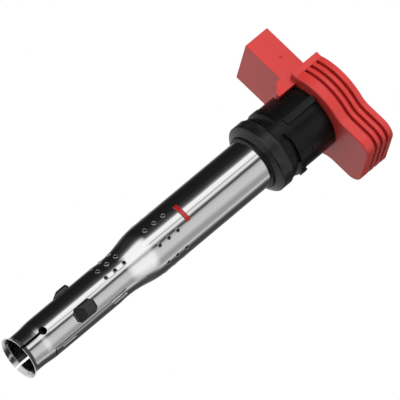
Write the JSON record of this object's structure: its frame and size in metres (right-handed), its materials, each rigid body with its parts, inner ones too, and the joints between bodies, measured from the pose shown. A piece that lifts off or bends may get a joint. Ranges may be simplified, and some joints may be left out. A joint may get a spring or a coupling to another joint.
{
  "type": "ignition coil",
  "caption": "Pencil ignition coil: slit polished steel sleeve with a rubber plug boot, black barrel with a well seal, ribbed red head and a side connector.",
  "frame": {"origin": "centre of the sleeve's lip at the plug end, on the coil axis", "axes": "+Z along the coil axis from the plug end to the head, -X towards the connector's mouth, +X towards the tail of the head"},
  "size_m": [0.0714, 0.044, 0.1908],
  "materials": {
    "polished_steel": "bright polished stainless steel, thin rolled sheet",
    "black_rubber": "satin moulded rubber",
    "seal_rubber": "satin moulded rubber, a little dusty",
    "red_silicone": "smooth silicone",
    "brass": "turned",
    "tinned_brass": "tinned strip",
    "spring_steel": "drawn wire",
    "ceramic": "unglazed",
    "nickel_caps": "nickel plated",
    "case_plastic": "glass-filled plastic",
    "bobbin_plastic": "natural plastic",
    "enamelled_copper": "enamelled wire",
    "core_steel": "silicon steel sheet",
    "black_plastic": "satin black glass-filled plastic",
    "red_plastic": "satin moulded red plastic",
    "board": "glass-fibre board with green lacquer",
    "spreader_aluminium": "stamped plate",
    "moulding_compound": "moulded",
    "casting_resin": "cast epoxy"
  },
  "bodies": {
    "coil_body": {"outer_sleeve": "polished_steel", "plug_boot": "black_rubber", "contact_spring": "spring_steel", "suppression_resistor": "ceramic", "resistor_caps": "nickel_caps", "coil_case": "case_plastic", "damping_ring": "red_silicone", "hv_terminal": "brass", "flux_return": "core_steel", "primary_bobbin": "bobbin_plastic", "primary_winding": "enamelled_copper", "secondary_bobbin": "bobbin_plastic", "secondary_winding": "enamelled_copper", "core_laminations": "core_steel", "core_cushions": "black_rubber", "barrel_housing": "black_plastic", "well_seal": "seal_rubber", "head_housing": "red_plastic", "head_cover": "red_plastic", "connector_pins": "tinned_brass", "winding_leads": "tinned_brass", "terminal_carrier": "bobbin_plastic", "driver_board": "board", "heat_spreader": "spreader_aluminium", "power_switch": "moulding_compound", "switch_legs": "tinned_brass", "board_chips": "moulding_compound", "head_potting": "casting_resin", "tube_potting": "casting_resin"},
    "contact": {"plug_contact": "brass"}
  },
  "joints": [
    {"name": "contact_slide", "type": "slide", "parent": "coil_body", "child": "contact", "axis": [0, 0, 1], "range_m": [0, 0.004], "stiffness_N_per_m": 600, "springref_m": -0.003, "deforming": ["contact_spring"]}
  ]
}
